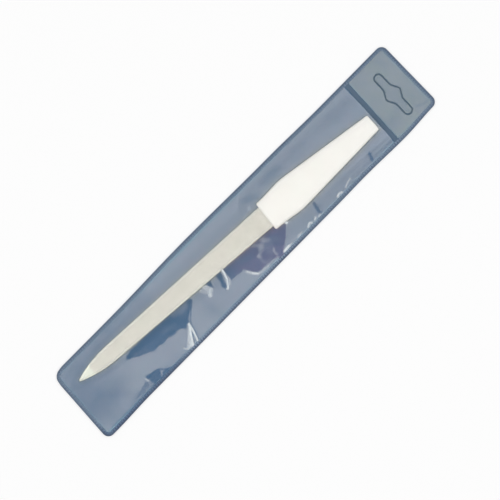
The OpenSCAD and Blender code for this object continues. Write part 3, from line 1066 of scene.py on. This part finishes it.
# strokes on the film: path from the tip end, half width, and what they do
paleStrokes = [
    ([(61.5, -0.9), (67.5, -1.6)], 1.3, 0.30),
    ([(64.0, -3.0), (68.5, -2.2)], 1.0, 0.20),
    ([(36.0, -1.2), (41.0, -3.4)], 1.0, 0.10),
    ([(52.0, -2.4), (57.5, -4.6)], 1.2, 0.10),
    ([(107.6, -9.9), (109.4, -8.8), (111.2, -7.6), (114.4, -6.2)], 0.95, 0.58),
    ([(108.9, -4.6), (111.2, -6.6)], 0.8, 0.62),
    ([(113.4, -4.8), (115.4, -7.4)], 0.95, 0.55),
    ([(110.5, -7.0), (113.5, -9.5), (115.5, -9.2)], 1.4, 0.24),
    ([(107.6, -10.0), (106.9, -12.2), (108.0, -14.2), (110.4, -14.6)], 0.5, 0.36),
    ([(114.6, -12.2), (113.9, -14.6)], 0.5, 0.85),
    ([(111.6, -11.4), (113.2, -12.4)], 0.6, 0.26),
    ([(117.0, -8.0), (119.0, -10.5)], 1.2, 0.15),
    ([(99.5, -5.0), (104.0, -7.0)], 1.4, 0.08),
    ([(37.8, -15.9), (39.2, -14.7), (39.8, -15.2)], 0.42, 0.75),
    ([(63.5, -9.8), (65.5, -12.5), (64.6, -16.0)], 1.6, 0.10),
    ([(127.0, 14.8), (130.5, 9.6)], 1.3, 0.14),
    ([(121.0, 16.2), (158.0, 15.6), (189.0, 15.4)], 1.6, 0.13),
    ([(60.0, 15.8), (84.0, 16.4)], 0.8, 0.10),
    ([(96.0, 9.0), (118.0, 6.8)], 1.0, 0.08),
]
darkStrokes = [
    ([(4.6, -16.9), (20.0, -17.0), (52.0, -17.1)], 0.3, 0.7),
    ([(71.8, -2.1), (67.2, -5.8), (64.7, -8.2), (63.5, -10.4), (62.6, -13.8), (61.1, -17.0)], 0.38, 0.75),
    ([(61.3, -12.6), (58.7, -16.2)], 0.36, 1.0),
    ([(54.3, -14.9), (54.9, -15.7), (56.0, -15.5)], 0.28, 0.8),
    ([(142.2, -10.9), (141.6, -13.0), (141.2, -15.6)], 0.80, 0.80),
    ([(141.8, -13.2), (143.8, -13.3)], 0.6, 0.30),
    ([(176.0, -12.9), (175.0, -15.6)], 0.72, 0.95),
    ([(75.4, -6.5), (76.2, -10.0), (75.8, -14.5)], 1.3, 0.13),
    ([(12.0, -3.0), (20.0, -10.5), (26.0, -16.0)], 1.6, 0.14),
    ([(4.0, -5.5), (13.0, -1.5)], 1.4, 0.10),
    ([(119.8, 13.6), (122.4, 11.8), (126.0, 9.8)], 1.3, 0.16),
    ([(132.5, 12.6), (137.5, 13.8), (143.0, 12.8)], 1.5, 0.12),
]
glintStrokes = [
    ([(91.3, -1.6), (90.9, -4.0), (89.9, -6.6)], 0.42, 0.85),
    ([(89.9, -6.6), (88.6, -8.4), (87.5, -9.8), (86.9, -10.1)], 0.36, 0.66),
    ([(90.9, -6.2), (90.2, -8.0), (89.2, -9.0)], 0.6, 0.20),
    ([(80.0, -2.2), (80.6, -5.0)], 1.15, 0.34),
    ([(81.4, -4.4), (80.4, -5.2), (79.2, -6.4)], 0.80, 0.48),
    ([(77.6, -2.0), (78.6, -4.2), (79.6, -5.2)], 0.45, 0.24),
    ([(80.9, -2.0), (82.2, -5.2)], 0.30, 0.40),
    ([(63.1, -8.7), (62.4, -12.0), (60.6, -16.9)], 0.40, 0.72),
    ([(62.8, -9.4), (60.4, -12.6), (57.7, -16.9)], 0.50, 0.76),
    ([(61.4, -10.6), (57.8, -13.9), (54.8, -16.2)], 0.55, 0.34),
    ([(59.8, -12.6), (56.2, -16.6)], 0.75, 0.34),
    ([(58.4, -15.2), (57.2, -16.9)], 0.75, 0.62),
    ([(53.7, -14.7), (54.4, -16.1), (56.4, -16.5), (57.5, -14.6)], 0.30, 0.50),
    ([(98.5, -10.7), (99.8, -12.9)], 0.42, 0.42),
    ([(99.8, -12.9), (101.6, -15.1)], 0.42, 0.68),
    ([(102.1, -15.3), (107.5, -16.0)], 0.30, 0.25),
    ([(117.2, -16.4), (120.6, -16.2)], 0.45, 0.80),
    ([(120.6, -16.2), (122.4, -16.3)], 0.30, 0.35),
    ([(126.4, -16.2), (128.8, -15.9)], 0.35, 0.32),
    ([(132.8, -16.3), (134.4, -15.5), (135.4, -16.2)], 0.40, 0.55),
    ([(137.4, -16.2), (138.2, -15.6)], 0.40, 0.50),
    ([(139.6, -16.4), (140.8, -16.2)], 0.35, 0.35),
    ([(152.0, -16.2), (153.4, -15.7), (154.8, -16.2)], 0.42, 0.60),
    ([(157.4, -15.9), (159.6, -15.0), (161.9, -14.5)], 0.30, 0.38),
    ([(126.9, -7.7), (127.4, -8.2)], 0.42, 0.90),
    ([(31.5, -12.4), (31.9, -13.8)], 0.30, 0.22),
]
hazeBlobs = [  # centre, reach and change of the haze
    ((4, 0), (34, 26), -0.57),
    ((14, -8), (16, 9), -0.14),
    ((34, 15), (40, 12), -0.37),
    ((95, 13), (30, 8), 0.16),
    ((132, 13), (16, 5), -0.13),
    ((158, 10), (34, 8), -0.05),
    ((178, 12), (14, 8), -0.10),
    ((122, 12), (5, 3.5), -0.20),
    ((139, 11.5), (8, 4), -0.12),
    ((97, -13), (9, 4), 0.22),
    ((128, -13), (12, 5), 0.12),
    ((45, -12), (14, 6), -0.04),
    ((75, -12), (12, 6), -0.07),
    ((160, -12), (14, 7), -0.12),
    ((182, -12), (12, 7), -0.08),
    ((30, -16.6), (30, 4.6), -0.42),
    ((130, -12), (9, 5), 0.06),
]


patchEdge = {"reach": 2, "softness": 0.7}


def patchMask(p, loop):
    if not nearPath(p, loop, patchEdge["reach"]):
        return 0.0
    reach = pathDistance(p, loop + loop[:1])
    return smooth(0.5 + (reach if insideLoop(p, loop) else -reach) / patchEdge["softness"])


def mouthLine(y, past):
    return sleeve["mouthX"] + past + y * crossLean


def pocketMarks(x, y):
    v = pocketFilm
    p = fromTip(x, y)
    q = p + Vector([mottle(x, y, 0.0, clouds) for clouds in v["stray"]])
    haze = mottle(x, y, *v["haze"])
    for centre, reach, change in hazeBlobs:
        d = hypot((p.x - centre[0]) / reach[0], (p.y - centre[1]) / reach[1])
        haze += change * (1 - smooth(d))
    violet = 0.0
    least, start, run = v["violetRise"]
    for depth, share, edge in clingPatches:
        mask = patchMask(q, edge)
        haze = blend(haze, 1 - depth, mask)
        violet = max(violet, share * mask * blend(least, 1.0, smooth((p.x - start) / run)))
    worn, wornByLift = v["violetWear"]
    for path, half, lift in paleStrokes:
        mask = strokeMask(q, path, half)
        haze += lift * mask
        violet *= 1 - (worn + wornByLift * lift) * mask
    # the haze beside the file is thinned as a painted shade along its edges
    clear, hazeLeftByPaintedShade, warm = besideFile(x, y)
    haze *= hazeLeftByPaintedShade
    for path, half, depth in darkStrokes:
        haze *= 1 - depth * strokeMask(p, path, half)
    glint = max(strength * strokeMask(p, path, half) for path, half, strength in glintStrokes)
    glint = min(glint * mottle(x, y, *v["flicker"]), 1.0)
    rim = min(innerHalf - abs(y), x - tipLine(y), mouthLine(y, v["fringePast"]) - x)
    fringe = fringeAt(v, rim) * (1 - glint)
    return (blend(1.0, max(haze, 0.0), clear), glint * clear, violet * clear, fringe, warm * clear)


beside = {
    "clearing": 0.4,
    "past": 0.6,  # reach beyond the file's ends
    "shade": ((1.1, 0.8), (0.6, 0.5)),  # width and depth of the painted shade beside the file, on its lower and its upper side
    "warm": (1.0, 0.55),
    "warmFade": 1.5,
}


def atFile(x, y):  # how far along the file a place is, and how far to its side
    spot = Vector((x, y)) - tipPlace
    return spot.dot(fileDir), spot.dot(fileSide)


def fileHalf(s):
    return bladeHalf(max(s, 0.0)) if s < nailFile["bladeLen"] else handleHalf(s)


def besideFile(x, y):  # 1 off the file and 0 over it, share of the haze left by the painted shade, and warm light
    b, (s, d) = beside, atFile(x, y)
    gap, upper = abs(d) - fileHalf(s), d >= 0
    clear, share, warm = 1.0, 1.0, 0.0
    if 0 <= s <= fileLength:
        clear = smooth(gap / b["clearing"] + 1)
    if -b["past"] <= s <= fileLength:  # painted shade: the haze thins beside the file, so a dark line of the blue film shows along its edges
        width, depth = b["shade"][upper]
        share = 1 - depth * (1 - smooth(gap / width))
    if -b["past"] <= s <= fileLength + b["past"]:
        warm = b["warm"][upper] * (1 - smooth(gap / b["warmFade"]))
    return clear, share, warm


def tipLine(y):  # inside of the edge weld across the tip end
    low, _, _, high = cornerCentres()
    side = (high - low).normalized()
    edge = low + Vector((-side.y, side.x)) * innerCorner
    return edge.x + (y - edge.y) * side.x / side.y


def rampShare(s):  # 0 over the blade, 1 where the handle starts
    p = pocketFilm
    return smooth((s - nailFile["bladeLen"] + p["ramp"]) / (p["ramp"] - p["rampRest"]))


def pathHalf(s):  # widest section of the file that passes here as it slides out
    f, gap = nailFile, pocketFilm["gap"]
    if s >= f["bladeLen"]:
        return handleHalf(min(s, bellyPlace)) + gap
    return blend(bladeHalf(max(s, 0.0)), f["frontW"] / 2, rampShare(s)) + gap


def pathTop(s):
    f = nailFile
    if s >= f["bladeLen"]:
        return handleRise(min(s, bellyPlace))
    return blend(f["bladeT"] / 2 + f["gritT"], f["frontT"] / 2, rampShare(s))


def filmLift(x, y):  # height of the film's underside over the blue film
    f, p = nailFile, pocketFilm
    s, d = atFile(x, y)
    nose = smooth((s + p["noseRun"]) / (p["noseRun"] - p["noseRest"]))
    top = f["tip"][2] + s * tan(-f["pitch"]) + pathTop(s)
    lift = (top + p["gap"] - sleeve["film"]) * nose
    half = pathHalf(s)
    if abs(d) <= half:
        return lift * (1 + p["crown"] * (1 - (d / half) ** 2))
    centre = tipPlace + fileDir * s
    rim = (innerHalf - copysign(1, d) * centre.y) / fileSide.y - half
    run = min(rim, max(p["drape"] * lift, p["leastRun"]))
    return lift * (1 - smooth((abs(d) - half) / run))


def roundCorner(x, y):  # fits the film's square corners into the weld's round ones
    r, (low, _, _, high) = innerCorner, cornerCentres()
    for centre, up in ((low, -1), (high, 1)):
        a, b = (centre.x - x) / r, up * (y - centre.y) / r
        if a > 0 and b > 0:
            a, b = min(a, 1.0), min(b, 1.0)
            across, along = a * sqrt(1 - b * b / 2), b * sqrt(1 - a * a / 2)
            return centre.x - r * across, centre.y + up * r * along
    return x, y


def makePocketFilm():
    p = pocketFilm
    scaleX, scaleY, layer = p["ripple"]
    bm = bmesh.new()
    bmesh.ops.create_grid(bm, x_segments=p["along"], y_segments=p["across"], size=1.0)
    for vert in bm.verts:
        y = vert.co.y * innerHalf
        first, last = tipLine(y), mouthLine(y, p["mouthReach"])
        x, y = roundCorner(blend(first, last, (vert.co.x + 1) / 2), y)
        spot = fromTip(x, y)
        rim = smooth(min(innerHalf - abs(y), x - first) / p["rimFade"])
        crease = p["crease"] * sum(size * strokeMask(spot, path, half) for path, half, size in glintStrokes)
        wave = p["rippleBase"] + noise.noise((x * scaleX, y * scaleY, layer))
        rise = (crease + max(0.0, wave) * p["wander"]) * rim
        vert.co = settle((x, y, clearBase + filmLift(x, y) + rise))
    thicken(bm, sleeve["film"])
    piece = finishPiece(bm, "pocketFilm", "sleeve", "pocket_front_film", pocketVinyl)
    paintVinyl(piece, pocketMarks)


makePocketFilm()
print("clear films built")

# floor, light and camera
studio = {
    "floorSize": 6.0,
    "floorDrop": 0.0003,
    "floorTone": 0.50,
    "floorGlow": 0.485,
    "sky": 0.685,
    "lamps": [  # name, place, size, share of a flat colour's light
        ("keyPanel", (-0.10, -0.26, 0.95), 0.60, 0.12),
        ("topPanel", (-0.45, 0.55, 1.05), 0.70, 0.14),
        ("sidePanel", (0.70, -0.35, 0.80), 0.50, 0.08),
    ],
}
shot = {
    "height": 2.0,
    "over": (-0.0011, -0.00487),
    "turn": radians(-45.409),
    "sensor": 36.0,
    "lens": 315.9,
}


def backgroundMask(tree):  # where a ray should meet the plain white studio
    rays = addNode(tree, "LightPath").outputs
    seen = mathNode(tree, "MAXIMUM", rays["Is Camera Ray"], rays["Is Glossy Ray"])
    return mathNode(tree, "MAXIMUM", seen, rays["Is Transmission Ray"])


def makeFloor():
    bm = bmesh.new()
    bmesh.ops.create_grid(bm, x_segments=1, y_segments=1, size=studio["floorSize"] / 2)
    bmesh.ops.translate(bm, verts=bm.verts, vec=(0, 0, -studio["floorDrop"]))
    material = bpy.data.materials.new("paleFloor")
    tree = emptyTree(material)
    tone = studio["floorTone"]
    matte = addNode(tree, "BsdfDiffuse", {"Color": (tone, tone, tone, 1)})
    glow = addNode(tree, "Emission", {"Strength": times(tree, backgroundMask(tree), studio["floorGlow"])})
    both = addNode(tree, "AddShader", {0: matte.outputs[0], 1: glow.outputs[0]})
    addNode(tree, "OutputMaterial", {"Surface": both.outputs[0]})
    floor = addObject("paleFloor", meshFrom(bm, "paleFloor", material))


def makeSky():
    world = bpy.data.worlds.new("studioSky")
    tree = emptyTree(world)
    strength = maskRange(tree, backgroundMask(tree), studio["sky"], 1.0)
    sky = addNode(tree, "Background", {"Color": (1, 1, 1, 1), "Strength": strength})
    addNode(tree, "OutputWorld", {"Surface": sky.outputs[0]})
    bpy.context.scene.world = world


def makeLamps():
    for name, place, size, share in studio["lamps"]:
        lamp = bpy.data.lights.new(name, "AREA")
        lamp.shape, lamp.size = "SQUARE", size
        spot = Vector(place)
        slant = spot.z / spot.length
        lamp.energy = share * pi ** 2 * spot.length_squared / slant  # so a flat white gets that share
        lampObject = addObject(name, lamp)
        lampObject.location = spot
        lampObject.rotation_euler = (-spot).to_track_quat("-Z", "Y").to_euler()


def makeCamera():
    camera = bpy.data.cameras.new("overhead")
    camera.sensor_width, camera.lens = shot["sensor"], shot["lens"]
    cameraObject = addObject("overhead", camera)
    cameraObject.location = (*shot["over"], shot["height"])
    cameraObject.rotation_euler = (0, 0, shot["turn"])
    bpy.context.scene.camera = cameraObject


makeFloor()
makeSky()
makeLamps()
makeCamera()
bpy.context.scene.view_settings.view_transform = "Standard"
print("studio set")
